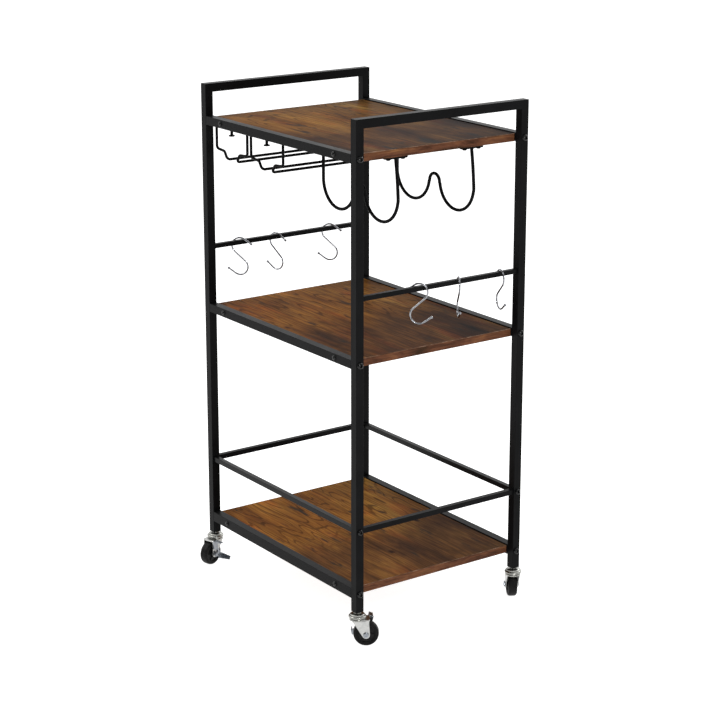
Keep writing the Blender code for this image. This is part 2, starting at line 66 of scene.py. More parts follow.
def make_camera():
    azimuth = math.radians(54.56)
    elevation = math.radians(14.79)
    target = Vector((-0.0023, 0.0, 0.5199))
    distance = 3.5289
    back = Vector((math.sin(azimuth) * math.cos(elevation), -math.cos(azimuth) * math.cos(elevation),
                   math.sin(elevation)))
    data = bpy.data.cameras.new("camera")
    data.sensor_width = 36.0
    data.lens = 101.44
    data.shift_y = -0.0833
    data.clip_end = 50.0
    data.dof.use_dof = False
    camera = bpy.data.objects.new("camera", data)
    bpy.context.scene.collection.objects.link(camera)
    camera.location = target + back * distance
    camera.rotation_euler = back.to_track_quat("Z", "Y").to_euler()
    bpy.context.scene.camera = camera


def area_light(name, location, target, size, power, colour=(1, 1, 1)):
    data = bpy.data.lights.new(name, "AREA")
    data.shape = "RECTANGLE"
    data.size, data.size_y = size
    data.energy = power
    data.color = colour
    lamp = bpy.data.objects.new(name, data)
    bpy.context.scene.collection.objects.link(lamp)
    lamp.location = location
    direction = Vector(location) - Vector(target)
    lamp.rotation_euler = direction.to_track_quat("Z", "Y").to_euler()


def make_world():
    """Studio surround: white above and behind the cart, almost black behind the camera."""
    world = bpy.data.worlds.new("studio")
    bpy.context.scene.world = world
    world.use_nodes = True
    tree = world.node_tree
    background = tree.nodes["Background"]
    coords = tree.nodes.new("ShaderNodeTexCoord")
    toward = tree.nodes.new("ShaderNodeVectorMath")
    toward.operation = "DOT_PRODUCT"
    toward.inputs[1].default_value = BRIGHT_SIDE
    ramp = tree.nodes.new("ShaderNodeValToRGB")
    tree.links.new(coords.outputs["Generated"], toward.inputs[0])
    tree.links.new(toward.outputs["Value"], ramp.inputs[0])
    tree.links.new(ramp.outputs["Color"], background.inputs["Color"])
    ends = ramp.color_ramp.elements
    ends[0].position, ends[0].color = 0.02, (0.05, 0.05, 0.055, 1.0)
    ends[1].position, ends[1].color = 0.50, (1.0, 1.0, 1.0, 1.0)
    background.inputs["Strength"].default_value = 1.25


def make_lights():
    area_light("key", (-1.2, -1.9, 2.6), MID_CART, (1.6, 1.6), 38.0, (1.0, 0.985, 0.96))
    area_light("fill", (2.4, -0.6, 1.5), MID_CART, (1.0, 1.0), 16.0)
    area_light("sparkle", (2.3, -0.7, 1.6), MID_CART, (0.14, 0.14), 9.0)
    area_light("rim", (-0.6, 2.4, 2.0), (0, 0, 0.5), (1.8, 1.2), 26.0, (0.96, 0.98, 1.0))


def make_floor():
    reach = 30.0
    mesh = bpy.data.meshes.new("floor")
    mesh.from_pydata([(-reach, -reach, 0), (reach, -reach, 0), (reach, reach, 0), (-reach, reach, 0)],
                     [], [(0, 1, 2, 3)])
    floor = bpy.data.objects.new("floor", mesh)
    bpy.context.scene.collection.objects.link(floor)
    white = plain_material("floor_white", (0.45, 0.45, 0.45), 0.9)
    shader = white.node_tree.nodes["Principled BSDF"]
    shader.inputs["Specular IOR Level"].default_value = 0.0
    shader.inputs["Emission Color"].default_value = (1.0, 1.0, 1.0, 1.0)
    shader.inputs["Emission Strength"].default_value = 0.92
    mesh.materials.append(white)


# ---------------------------------------------------------------------------
# Materials
# ---------------------------------------------------------------------------
def plain_material(name, colour, roughness, metallic=0.0):
    mat = bpy.data.materials.new(name)
    mat.use_nodes = True
    shader = mat.node_tree.nodes["Principled BSDF"]
    shader.inputs["Base Color"].default_value = (*colour, 1.0)
    shader.inputs["Roughness"].default_value = roughness
    shader.inputs["Metallic"].default_value = metallic
    return mat


class Nodes:
    """Shorthand for wiring one material's procedural textures."""

    def __init__(self, mat):
        self.tree = mat.node_tree
        self.shader = self.tree.nodes["Principled BSDF"]
        self.coords = self.tree.nodes.new("ShaderNodeTexCoord").outputs["Object"]

    def new(self, kind, **inputs):
        node = self.tree.nodes.new(kind)
        for key, value in inputs.items():
            socket = node.inputs[key.replace("_", " ")]
            if isinstance(value, bpy.types.NodeSocket):
                self.tree.links.new(value, socket)
            else:
                socket.default_value = value
        return node

    def stretched(self, scale, turn=(0, 0, 0)):
        return self.new("ShaderNodeMapping", Vector=self.coords, Scale=scale, Rotation=turn).outputs["Vector"]

    def noise(self, vector, scale, detail=4.0, roughness=0.55, distortion=0.0):
        return self.new("ShaderNodeTexNoise", Vector=vector, Scale=scale, Detail=detail,
                        Roughness=roughness, Distortion=distortion).outputs["Fac"]

    def ramp(self, value, stops):
        node = self.new("ShaderNodeValToRGB", Fac=value)
        ends = node.color_ramp.elements
        while len(ends) < len(stops):
            ends.new(0.5)
        for element, (place, colour) in zip(ends, stops):
            element.position = place
            if not isinstance(colour, tuple):
                colour = (colour, colour, colour)
            element.color = (*colour, 1.0)
        return node.outputs["Color"]

    def mix(self, factor, a, b, blend="MIX"):
        node = self.tree.nodes.new("ShaderNodeMix")
        node.data_type = "RGBA"
        node.blend_type = blend
        for socket, value in ((node.inputs[0], factor), (node.inputs[6], a), (node.inputs[7], b)):
            if isinstance(value, bpy.types.NodeSocket):
                self.tree.links.new(value, socket)
            elif isinstance(value, tuple):
                socket.default_value = (*value, 1.0)
            else:
                socket.default_value = value
        return node.outputs[2]

    def span(self, value, low, high):
        return self.new("ShaderNodeMapRange", Value=value, To_Min=low, To_Max=high).outputs["Result"]

    def rise(self, value, start, end):
        """0 before start, 1 after end, straight between."""
        return self.new("ShaderNodeMapRange", Value=value, From_Min=start, From_Max=end).outputs["Result"]

    def set(self, name, socket):
        self.tree.links.new(socket, self.shader.inputs[name])

    def bump(self, height, strength, distance):
        node = self.new("ShaderNodeBump", Height=height, Strength=strength, Distance=distance)
        self.set("Normal", node.outputs["Normal"])


def powder_coat(name, colour, roughness, lift, gloss):
    """Satin black polyester powder: orange-peel skin, faint cloudy gloss and paler scuffs."""
    mat = plain_material(name, colour, roughness)
    n = Nodes(mat)
    n.shader.inputs["Specular IOR Level"].default_value = gloss
    cloud = n.noise(n.coords, 24.0, 5.0)
    peel = n.noise(n.coords, 1100.0, 2.0, 0.5)
    scuff = n.noise(n.stretched((60, 60, 420)), 6.0, 6.0, 0.7)
    patch_mask = n.ramp(scuff, ((0.60, 0.0), (0.74, 1.0)))
    base = n.mix(n.ramp(cloud, ((0.3, 0.0), (0.75, 1.0))), colour, tuple(c * lift for c in colour))
    n.set("Base Color", n.mix(patch_mask, base, tuple(c * lift * 1.7 for c in colour)))
    n.set("Roughness", n.span(cloud, roughness - 0.07, roughness + 0.10))
    n.bump(peel, 0.16, 0.0003)
    return mat


def rustic_board(name, strength):
    """Printed rustic board, grain along X: amber at the left, weathered umber to the right, and darker
    towards the back.
    """
    mat = plain_material(name, (0.16, 0.066, 0.018), 0.44)
    n = Nodes(mat)
    n.shader.inputs["Specular IOR Level"].default_value = 0.007
    warp = n.new("ShaderNodeTexNoise", Vector=n.stretched((5, 14, 9)), Scale=1.0, Detail=5.0, Roughness=0.6)
    bent = n.new("ShaderNodeVectorMath")
    bent.operation = "MULTIPLY_ADD"
    n.tree.links.new(warp.outputs["Color"], bent.inputs[0])
    bent.inputs[1].default_value = (0.05, 0.013, 0.0)
    n.tree.links.new(n.coords, bent.inputs[2])
    flow = bent.outputs["Vector"]

    def along(scale):
        return n.new("ShaderNodeMapping", Vector=flow, Scale=scale).outputs["Vector"]

    # Ground colour
    cloud = n.noise(along((4.5, 15.0, 6.0)), 1.0, 4.0, 0.6)
    amber = n.ramp(cloud, ((0.30, (0.100, 0.034, 0.009)), (0.44, (0.185, 0.072, 0.015)),
                           (0.56, (0.245, 0.104, 0.022)), (0.72, (0.350, 0.170, 0.036))))
    umber = n.ramp(cloud, ((0.30, (0.018, 0.012, 0.010)), (0.44, (0.058, 0.025, 0.012)),
                           (0.57, (0.115, 0.049, 0.017)), (0.74, (0.215, 0.098, 0.027))))
    place = n.new("ShaderNodeSeparateXYZ", Vector=n.coords)
    drift = n.noise(n.stretched((5, 9, 4)), 1.0, 3.0, 0.6)
    blend = n.mix(0.5, n.rise(place.outputs["X"], -0.09, 0.15), drift, "OVERLAY")
    shade = n.ramp(blend, ((0.25, 0.0), (0.70, 1.0)))
    tone = n.mix(shade, amber, umber)

    # Growth rings, strongest on the amber, then grain and fibre
    rings = n.new("ShaderNodeMath", Value=n.noise(along((2.2, 15.0, 5.0)), 1.0, 2.0, 0.45))
    rings.operation = "MULTIPLY"
    rings.inputs[1].default_value = 120.0
    wave = n.new("ShaderNodeMath", Value=rings.outputs[0])
    wave.operation = "SINE"
    grain = n.noise(along((6.5, 300.0, 80.0)), 1.0, 5.0, 0.60)
    line = n.ramp(wave.outputs[0], ((0.70, 1.0), (0.95, 0.34)))
    line = n.mix(shade, line, n.mix(0.68, line, (1.0, 1.0, 1.0)))
    tone = n.mix(n.ramp(grain, ((0.36, 0.10), (0.56, 1.0))), tone, n.mix(1.0, tone, line, "MULTIPLY"))
    ridges = n.ramp(grain, ((0.34, 0.38), (0.45, 0.78), (0.53, 1.03), (0.68, 1.32)))
    tone = n.mix(0.9, tone, ridges, "MULTIPLY")
    fibre = n.noise(along((18.0, 700.0, 200.0)), 1.0, 3.0, 0.6)
    tone = n.mix(0.7, tone, n.ramp(fibre, ((0.3, 0.66), (0.7, 1.30))), "MULTIPLY")

    # Red patches, dark smudges and knots
    russet = n.ramp(n.noise(along((6.0, 24.0, 11.0)), 1.2, 3.0), ((0.54, 0.0), (0.70, 0.55)))
    tone = n.mix(russet, tone, n.mix(1.0, tone, (1.15, 0.66, 0.70), "MULTIPLY"))
    dusk = n.ramp(n.noise(along((8.0, 30.0, 7.0)), 1.5, 3.0, 0.6), ((0.60, 0.0), (0.70, 0.9)))
    tone = n.mix(dusk, tone, (0.026, 0.020, 0.016))
    knots = n.new("ShaderNodeTexVoronoi", Vector=along((7.0, 13.0, 5.0)), Scale=1.0)
    knot = n.ramp(knots.outputs["Distance"], ((0.035, 0.95), (0.085, 0.0)))
    tone = n.mix(knot, tone, (0.018, 0.008, 0.005))

    # Darker towards the back; each shelf's colour scale is painted light balance, the top board darkened and
    # greyed for the stronger light and sheen on it
    back = n.rise(place.outputs["Y"], -0.03, 0.16)
    tone = n.mix(back, tone, n.mix(1.0, tone, (0.54, 0.60, 0.78), "MULTIPLY"))
    n.set("Base Color", n.mix(1.0, tone, strength, "MULTIPLY"))
    n.set("Roughness", n.span(grain, 0.36, 0.54))
    n.bump(n.mix(0.5, grain, fibre), 0.20, 0.0004)
    return mat


def board_edge(name):
    """Edge banding: the same print, redder, running along Y."""
    mat = plain_material(name, (0.14, 0.055, 0.03), 0.45)
    n = Nodes(mat)
    n.shader.inputs["Specular IOR Level"].default_value = 0.05
    cloud = n.noise(n.stretched((7, 13, 60)), 1.0, 5.0, 0.65, 0.5)
    tone = n.ramp(cloud, ((0.30, (0.036, 0.017, 0.008)), (0.46, (0.092, 0.035, 0.018)),
                          (0.60, (0.150, 0.060, 0.027)), (0.76, (0.210, 0.100, 0.034))))
    streak = n.noise(n.stretched((40, 26, 600)), 1.0, 5.0, 0.7)
    n.set("Base Color", n.mix(0.85, tone, n.ramp(streak, ((0.34, 0.45), (0.66, 1.35))), "MULTIPLY"))
    n.set("Roughness", n.span(streak, 0.38, 0.58))
    n.bump(streak, 0.15, 0.0003)
    return mat


def band_arris_highlight(name):
    """Top arris of the edge banding, with a painted highlight in pale patches where the bevel catches light.
    """
    mat = plain_material(name, (0.22, 0.12, 0.08), 0.5)
    n = Nodes(mat)
    n.shader.inputs["Specular IOR Level"].default_value = 0.05
    patch_mask = n.noise(n.stretched((60, 34, 60)), 1.0, 5.0, 0.7)
    # Pale end of the ramp: painted highlight along the arris; the dark end is the band's own colour.
    n.set("Base Color", n.ramp(patch_mask, ((0.38, (0.060, 0.028, 0.014)), (0.52, (0.150, 0.082, 0.050)),
                                      (0.70, (0.40, 0.27, 0.19)))))
    n.set("Roughness", n.span(patch_mask, 0.35, 0.6))
    n.bump(patch_mask, 0.2, 0.0003)
    return mat


def plated(name, colour, roughness, grain, tint):
    """Plated metal: cloudy zinc or clear chrome with fine handling scratches."""
    mat = plain_material(name, colour, roughness, 1.0)
    n = Nodes(mat)
    cloud = n.noise(n.coords, 160.0, 5.0, 0.6)
    scratch = n.noise(n.stretched((300, 2600, 900), (0.4, 0.7, 0.2)), 1.0, 3.0, 0.6)
    n.set("Base Color", n.mix(n.ramp(cloud, ((0.35, 0.0), (0.7, 1.0))), colour, tint))
    n.set("Roughness", n.span(n.mix(0.5, cloud, scratch), max(roughness - grain, 0.03), roughness + grain))
    n.bump(scratch, 0.08, 0.0001)
    return mat


def tyre_rubber(name, colour, roughness):
    """Moulded black tyre: dust on the tread and a fine matt grain."""
    mat = plain_material(name, colour, roughness)
    n = Nodes(mat)
    dust = n.ramp(n.noise(n.coords, 140.0, 6.0, 0.7), ((0.50, 0.0), (0.80, 0.8)))
    n.shader.inputs["Specular IOR Level"].default_value = 0.12
    n.set("Base Color", n.mix(dust, colour, (0.020, 0.019, 0.018)))
    n.set("Roughness", n.span(n.noise(n.coords, 60.0, 4.0), roughness - 0.12, roughness + 0.14))
    n.bump(n.noise(n.coords, 2200.0, 3.0), 0.3, 0.0002)
    return mat


COAT = powder_coat("powder_coat_black", (0.0030, 0.0030, 0.0032), 0.34, 1.9, 0.045)
GUARD_COAT = powder_coat("guard_coat_black", (0.0030, 0.0031, 0.0034), 0.30, 1.9, 0.075)
WIRE_COAT = powder_coat("wire_coat_black", (0.0030, 0.0030, 0.0032), 0.38, 1.6, 0.028)
# Per-shelf colour scales are painted light and shade: the top board is darkened and greyed to stand in for
# the stronger light and sheen falling on it, the middle less, the bottom hardly at all.
BOARD = {"top": rustic_board("rustic_board_top", (0.73, 0.76, 0.83)),
         "middle": rustic_board("rustic_board_middle", (0.92, 0.88, 0.82)),
         "bottom": rustic_board("rustic_board_bottom", (1.0, 0.98, 0.88))}
EDGE = board_edge("board_edge_band")
ARRIS_HIGHLIGHT = band_arris_highlight("band_arris_highlight")
CHROME = plated("polished_chrome", (0.32, 0.325, 0.34), 0.13, 0.05, (0.16, 0.165, 0.18))
ZINC = plated("bright_zinc", (0.47, 0.47, 0.455), 0.30, 0.10, (0.36, 0.365, 0.36))
CUP_ZINC = plated("yellow_zinc", (0.37, 0.37, 0.345), 0.27, 0.10, (0.24, 0.24, 0.225))
STEEL = plated("plated_steel", (0.30, 0.32, 0.345), 0.30, 0.08, (0.20, 0.215, 0.235))
BOLT_BLACK = powder_coat("bolt_black", (0.0010, 0.0010, 0.0011), 0.15, 2.0, 0.26)
RUBBER = tyre_rubber("wheel_rubber", (0.0045, 0.0045, 0.0045), 0.52)
HUB = tyre_rubber("wheel_hub", (0.006, 0.006, 0.006), 0.42)


# ---------------------------------------------------------------------------
# Mesh helpers
# ---------------------------------------------------------------------------
def piece(name, bm, mat, body, replaces=(), smooth=35, bevel=0.0, segments=3, matrix=None):
    """Finish a mesh: normals, placement, material, bevel and body, and hide the CAD parts it replaces."""
    bmesh.ops.recalc_face_normals(bm, faces=bm.faces)
    if matrix is not None:
        bmesh.ops.transform(bm, matrix=matrix, verts=bm.verts)
    mesh = bpy.data.meshes.new(name)
    bm.to_mesh(mesh)
    bm.free()
    mesh.materials.append(mat)
    mesh.shade_smooth()
    mesh.set_sharp_from_angle(angle=math.radians(180 if bevel else smooth))
    obj = bpy.data.objects.new(name, mesh)
    bpy.context.scene.collection.objects.link(obj)
    if bevel:
        modifier = obj.modifiers.new("edges", "BEVEL")
        modifier.width = bevel
        modifier.segments = segments
        modifier.limit_method = "ANGLE"
        modifier.angle_limit = math.radians(28)
        modifier.harden_normals = True
    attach(obj, body)
    if replaces:
        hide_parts(*replaces)


def add_box(bm, low, high):
    size = Vector(high) - Vector(low)
    middle = (Vector(high) + Vector(low)) / 2
    matrix = Matrix.Translation(middle) @ Matrix.Diagonal((*size, 1.0))
    return bmesh.ops.create_cube(bm, size=1.0, matrix=matrix)["verts"]


def add_prism(bm, outline, depth):
    """Sweep a flat outline straight along the vector depth."""
    base = [bm.verts.new(p) for p in outline]
    top = [bm.verts.new(Vector(p) + Vector(depth)) for p in outline]
    bm.faces.new(list(reversed(base)))
    bm.faces.new(top)
    for i in range(len(base)):
        j = (i + 1) % len(base)
        bm.faces.new((base[i], base[j], top[j], top[i]))


def add_holed_plate(bm, outline, radius, thickness, sides=32):
    """Horizontal plate standing on a flat outline, with a round hole about the Z axis."""
    angles = [2 * math.pi * k / sides for k in range(sides)]
    hole = [(radius * math.cos(angle), radius * math.sin(angle), outline[0][2]) for angle in angles]
    levels = []
    for lift in (0, thickness):
        loops = [[bm.verts.new((x, y, z + lift)) for x, y, z in points] for points in (outline, hole)]
        edges = [bm.edges.new((loop[k - 1], loop[k])) for loop in loops for k in range(len(loop))]
        bmesh.ops.triangle_fill(bm, edges=edges, use_beauty=True)
        levels.append(loops)
    for below, above in zip(*levels):
        for k in range(len(below)):
            bm.faces.new((below[k - 1], below[k], above[k], above[k - 1]))


def in_mm(*pairs):
    """Pairs given in millimetres, as metres."""
    return [(a * MM, b * MM) for a, b in pairs]


def add_lathe(bm, profile, segments=48, matrix=Matrix.Identity(4), shape=None):
    """Spin (radius, z) pairs about Z; shape(angle, ring index) scales a ring's radius."""
    rings = []
    for index, (radius, height) in enumerate(profile):
        if radius == 0:
            rings.append([bm.verts.new(matrix @ Vector((0, 0, height)))])
            continue
        ring = []
        for k in range(segments):
            angle = 2 * math.pi * k / segments
            r = radius * (shape(angle, index) if shape else 1.0)
            ring.append(bm.verts.new(matrix @ Vector((r * math.cos(angle), r * math.sin(angle), height))))
        rings.append(ring)
    pairs = list(zip(rings, rings[1:]))
    if profile[0][0] > 0 and profile[-1][0] > 0:
        pairs.append((rings[-1], rings[0]))
    for upper, lower in pairs:
        for k in range(segments):
            n = (k + 1) % segments
            if len(upper) == 1:
                bm.faces.new((upper[0], lower[k], lower[n]))
            elif len(lower) == 1:
                bm.faces.new((upper[k], lower[0], upper[n]))
            else:
                bm.faces.new((upper[k], lower[k], lower[n], upper[n]))


def hexagon(angle):
    """Radius, at an angle, of a hexagon whose corners are at distance 1."""
    sector = (angle % (math.pi / 3)) - math.pi / 6
    return math.cos(math.pi / 6) / math.cos(sector)


def rounded(points, radius, steps=8):
    """Replace the inner corners of a polyline with arcs."""
    points = [Vector(p) for p in points]
    result = [points[0]]
    for before, corner, after in zip(points, points[1:], points[2:]):
        a = (before - corner).normalized()
        b = (after - corner).normalized()
        half = a.angle(b) / 2
        reach = min(radius / math.tan(half), 0.45 * (before - corner).length, 0.45 * (after - corner).length)
        real = reach * math.tan(half)
        centre = corner + (a + b).normalized() * (real / math.sin(half))
        start = (corner + a * reach - centre).normalized()
        end = (corner + b * reach - centre).normalized()
        for k in range(steps + 1):
            result.append(centre + start.slerp(end, k / steps) * real)
    result.append(points[-1])
    return result


def smooth_path(points, spacing):
    """Catmull-Rom curve through the points, resampled at about the given spacing."""
    points = [Vector(p) for p in points]
    padded = [2 * points[0] - points[1]] + points + [2 * points[-1] - points[-2]]
    result = []
    for a, b, c, d in zip(padded, padded[1:], padded[2:], padded[3:]):
        steps = max(1, round((c - b).length / spacing))
        for k in range(steps):
            t = k / steps
            result.append(0.5 * (2 * b + (c - a) * t + (2 * a - 5 * b + 4 * c - d) * t ** 2
                                 + (3 * b - a - 3 * c + d) * t ** 3))
    result.append(points[-1])
    return result


def add_wire(bm, path, radius, sides=16, ball=0.0, closed=False, wobble=None):
    """Sweep a round wire along a path; ball is the radius of a bead at each tip, wobble scales a ring."""
    path = [Vector(p) for p in path]
    radii = [radius] * len(path)
    if ball:
        first = (path[0] - path[1]).normalized()
        last = (path[-1] - path[-2]).normalized()
        bead = [(math.cos(math.radians(a)), math.sin(math.radians(a))) for a in range(140, 3, -15)]
        head = [(path[0] + first * ball * (c + 0.8), ball * s) for c, s in reversed(bead)]
        tail = [(path[-1] + last * ball * (c + 0.8), ball * s) for c, s in bead]
        path = [p for p, _ in head] + path + [p for p, _ in tail]
        radii = [r for _, r in head] + radii + [r for _, r in tail]
    tangent = (path[1] - path[0]).normalized()
    normal = tangent.orthogonal().normalized()
    rings = []
    count = len(path)
    for i, point in enumerate(path):
        back = path[(i - 1) % count if closed else max(i - 1, 0)]
        ahead = path[(i + 1) % count if closed else min(i + 1, count - 1)]
        new_tangent = (ahead - back).normalized()
        normal = tangent.rotation_difference(new_tangent) @ normal
        tangent = new_tangent
        other = tangent.cross(normal)
        size = radii[i] * (wobble(i) if wobble else 1.0)
        rings.append([bm.verts.new(point + (normal * math.cos(2 * math.pi * k / sides)
                                            + other * math.sin(2 * math.pi * k / sides)) * size)
                      for k in range(sides)])
    for a, b in list(zip(rings, rings[1:])) + ([(rings[-1], rings[0])] if closed else []):
        for k in range(sides):
            n = (k + 1) % sides
            bm.faces.new((a[k], a[n], b[n], b[k]))
    if not closed:
        bm.faces.new(list(reversed(rings[0])))
        bm.faces.new(rings[-1])


# ---------------------------------------------------------------------------
# Frame tubes, welds, boards and fasteners
# ---------------------------------------------------------------------------
TUBE = 15 * MM
TUBE_ROUND = 0.45 * MM
BAR_ROUND = 0.4 * MM
HOOK_BAR = 8 * MM
GUARD_BAR = 9 * MM
HOOK_BAR_HEIGHT = 540 * MM
HOOK_BAR_TOP = JOINTS["swivel_turn_front_left"]["pos_m"][2] + HOOK_BAR_HEIGHT
GUARD_BAR_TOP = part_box("guard_rail_front")[1].z
SEAM_INSET = 1.6 * MM


def weld_bead(bm, centre, half, radius, outward):
    """Rippled fillet round the end of a square bar that meets a post; outward is +1 or -1 along Y."""
    corners = [(-1, -1), (1, -1), (1, 1), (-1, 1)]
    ring = []
    per_side = 10
    for (ax, az), (bx, bz) in zip(corners, corners[1:] + corners[:1]):
        for k in range(per_side):
            t = k / per_side
            ring.append((centre[0] + half * (ax + (bx - ax) * t), centre[1] + outward * 0.25 * radius,
                         centre[2] + half * (az + (bz - az) * t)))
    add_wire(bm, ring, radius, 8, closed=True, wobble=lambda i: 1.0 + 0.16 * math.sin(i * 2.2))


def end_frames():
    for side, sign in SIDES.items():
        node = side + "_end_frame"
        low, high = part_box(node)
        outer_y = high.y
        inner_y = outer_y - TUBE
        x0, x1 = low.x, high.x
        foot, top = low.z, high.z
        outline = [(x0, -outer_y, foot), (x0, -inner_y, foot), (x0, -inner_y, top - TUBE),
                   (x0, inner_y, top - TUBE), (x0, inner_y, foot), (x0, outer_y, foot),
                   (x0, outer_y, top), (x0, -outer_y, top)]
        bm = bmesh.new()
        add_prism(bm, outline, (x1 - x0, 0, 0))
        piece("hoop_" + side, bm, COAT, CART, (node,), bevel=TUBE_ROUND, segments=4)
        middle = (x0 + x1) / 2
        bm = bmesh.new()
        for bar_top, size in ((HOOK_BAR_TOP, HOOK_BAR), (GUARD_BAR_TOP, GUARD_BAR)):
            add_box(bm, (middle - size / 2, -inner_y - MM, bar_top - size),
                    (middle + size / 2, inner_y + MM, bar_top))
        piece("end_bars_" + side, bm, COAT, CART, bevel=BAR_ROUND, segments=4)
        bm = bmesh.new()
        for bar_top, size in ((HOOK_BAR_TOP, HOOK_BAR), (GUARD_BAR_TOP, GUARD_BAR)):
            for end in ENDS.values():
                weld_bead(bm, (middle, end * inner_y, bar_top - size / 2), size / 2, 0.8 * MM, -end)
        piece("weld_beads_" + side, bm, COAT, CART, smooth=60)
        bm = bmesh.new()
        seam_length = x1 - x0 - 2 * SEAM_INSET
        for end in ENDS.values():
            y = end * (inner_y + 0.1 * MM)
            z = top - TUBE + 0.1 * MM
            seam = [(x0 + SEAM_INSET + seam_length * k / 12, y, z) for k in range(13)]
            add_wire(bm, seam, 1.0 * MM, 8, wobble=lambda i: 1.0 + 0.14 * math.sin(i * 2.5))
        piece("handle_welds_" + side, bm, COAT, CART, smooth=60)


def long_rails():
    names = ["rail_%s_%s" % (level, end) for level in LEVELS for end in ENDS]
    for name in names + ["guard_rail_front", "guard_rail_back"]:
        low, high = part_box(name)
        bm = bmesh.new()
        add_box(bm, low, high)
        guard = name.startswith("guard")
        piece("tube_" + name, bm, GUARD_COAT if guard else COAT, CART, (name,),
              bevel=BAR_ROUND if guard else TUBE_ROUND, segments=4)


PANEL_REVEAL = 1.0 * MM  # extra gap between the board and each rail
BAND = 0.8 * MM
BAND_DROP = 0.7 * MM


def panels():
    """Board, edge banding on its two short ends, and the band's top arris with its painted highlight."""
    inset = 0.1 * MM
    for level in LEVELS:
        low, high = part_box("panel_" + level)
        low.y += PANEL_REVEAL
        high.y -= PANEL_REVEAL
        bm = bmesh.new()
        add_box(bm, (low.x + BAND, low.y, low.z), (high.x - BAND, high.y, high.z))
        piece("board_" + level, bm, BOARD[level], CART, ("panel_" + level,), bevel=0.5 * MM,
              segments=2)
        bm = bmesh.new()
        for x0, x1 in ((low.x, low.x + BAND - 0.05 * MM), (high.x - BAND + 0.05 * MM, high.x)):
            add_box(bm, (x0, low.y + inset, low.z + inset), (x1, high.y - inset, high.z - BAND_DROP))
        piece("edge_band_" + level, bm, EDGE, CART, bevel=0.25 * MM, segments=2)
        bm = bmesh.new()
        y = low.y + inset
        for x, inward in ((low.x, 1), (high.x, -1)):
            outline = [(x, y, high.z - BAND_DROP), (x + inward * 0.1 * MM, y, high.z - 0.35 * MM),
                       (x + inward * 0.75 * MM, y, high.z - 0.02 * MM),
                       (x + inward * 0.75 * MM, y, high.z - BAND_DROP)]
            add_prism(bm, outline, (0, high.y - low.y - 2 * inset, 0))
        piece("band_arris_highlight_" + level, bm, ARRIS_HIGHLIGHT, CART)


def screw_head(bm, matrix, radius, height, socket, drive):
    """Domed head with a hexagon socket or a cross recess, standing on the XY plane."""
    def recess(angle):
        if drive == "hex":
            return hexagon(angle)
        return 0.42 + 0.58 * abs(math.cos(2 * angle)) ** 6
    depth = 0.62 * height
    profile = [(radius, -0.1 * MM), (radius, 0.25 * height), (0.93 * radius, 0.55 * height),
               (0.76 * radius, 0.84 * height), (0.60 * radius, 0.97 * height)]
    count = len(profile)
    profile += [(socket * 1.10, height), (socket, height - 0.12 * MM), (socket * 0.96, height - depth),
                (0, height - depth - 0.15 * MM)]
    add_lathe(bm, [(0, -0.1 * MM)] + profile, 36, matrix,
              shape=lambda angle, i: recess(angle) if i > count else 1.0)


BOLT_EXTRA_RADIUS = 0.6 * MM  # the real heads are a little larger than the CAD's
BOLT_EXTRA_HEIGHT = 0.7 * MM
BOLT_SHANK = 22 * MM
PANEL_SCREW_X = 171 * MM


def name_number(name):
    """A number made from a name, so that neighbouring screws are not turned alike."""
    return sum(ord(c) * (i + 1) for i, c in enumerate(name))


def frame_bolts():
    for end in ENDS:
        for side, sign in SIDES.items():
            frame_low, frame_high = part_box(side + "_end_frame")
            face = frame_high.x if sign > 0 else frame_low.x
            for level in LEVELS + ("guard",):
                node = "bolt_%s_%s_%s" % (end, side, level)
                low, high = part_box(node)
                middle = (low + high) / 2
                radius = (high.y - low.y) / 2 + BOLT_EXTRA_RADIUS
                height = ((high.x - face) if sign > 0 else (face - low.x)) + BOLT_EXTRA_HEIGHT
                spin = math.radians((name_number(node) * 37) % 60)
                matrix = (Matrix.Translation((face, middle.y, middle.z))
                          @ Matrix.Rotation(sign * math.pi / 2, 4, "Y") @ Matrix.Rotation(spin, 4, "Z"))
                bm = bmesh.new()
                screw_head(bm, matrix, radius, height, 0.48 * radius, "hex")
                shank = 0.55 * radius
                add_lathe(bm, [(0, -0.1 * MM), (shank, -0.1 * MM), (shank, -BOLT_SHANK), (0, -BOLT_SHANK)],
                          20, matrix)
                piece("button_" + node, bm, BOLT_BLACK, CART, (node,))


def panel_screws():
    for end, sign in ENDS.items():
        bm = bmesh.new()
        for level in LEVELS:
            low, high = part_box("rail_%s_%s" % (level, end))
            face = low.y if sign < 0 else high.y
            z = (low.z + high.z) / 2 + 0.5 * MM
            turn = math.radians(17 + 23 * name_number(level) % 90)
            for x in (-PANEL_SCREW_X, PANEL_SCREW_X):
                matrix = (Matrix.Translation((x, face, z)) @ Matrix.Rotation(-sign * math.pi / 2, 4, "X")
                          @ Matrix.Rotation(turn, 4, "Z"))
                screw_head(bm, matrix, 4.6 * MM, 2.2 * MM, 2.4 * MM, "cross")
        piece("panel_screws_" + end, bm, BOLT_BLACK, CART)


# ---------------------------------------------------------------------------
# Racks under the top shelf
# ---------------------------------------------------------------------------
TAB = 3.8 * MM


def rack_tab(bm, centre, half_length, half_width, thickness, screws):
    """Stadium-shaped tab under the board, long side along Y, with pan-head screws."""
    outline = []
    for sign, start in ((1, 0), (-1, 180)):
        for k in range(13):
            angle = math.radians(start + 15 * k)
            outline.append((centre[0] + half_width * math.cos(angle),
                            centre[1] + sign * (half_length - half_width) + half_width * math.sin(angle),
                            centre[2] - thickness))
    add_prism(bm, outline, (0, 0, thickness))
    for y in screws:
        matrix = (Matrix.Translation((centre[0], centre[1] + y, centre[2] - thickness))
                  @ Matrix.Rotation(math.pi, 4, "X"))
        screw_head(bm, matrix, 4.2 * MM, 2.6 * MM, 2.4 * MM, "cross")


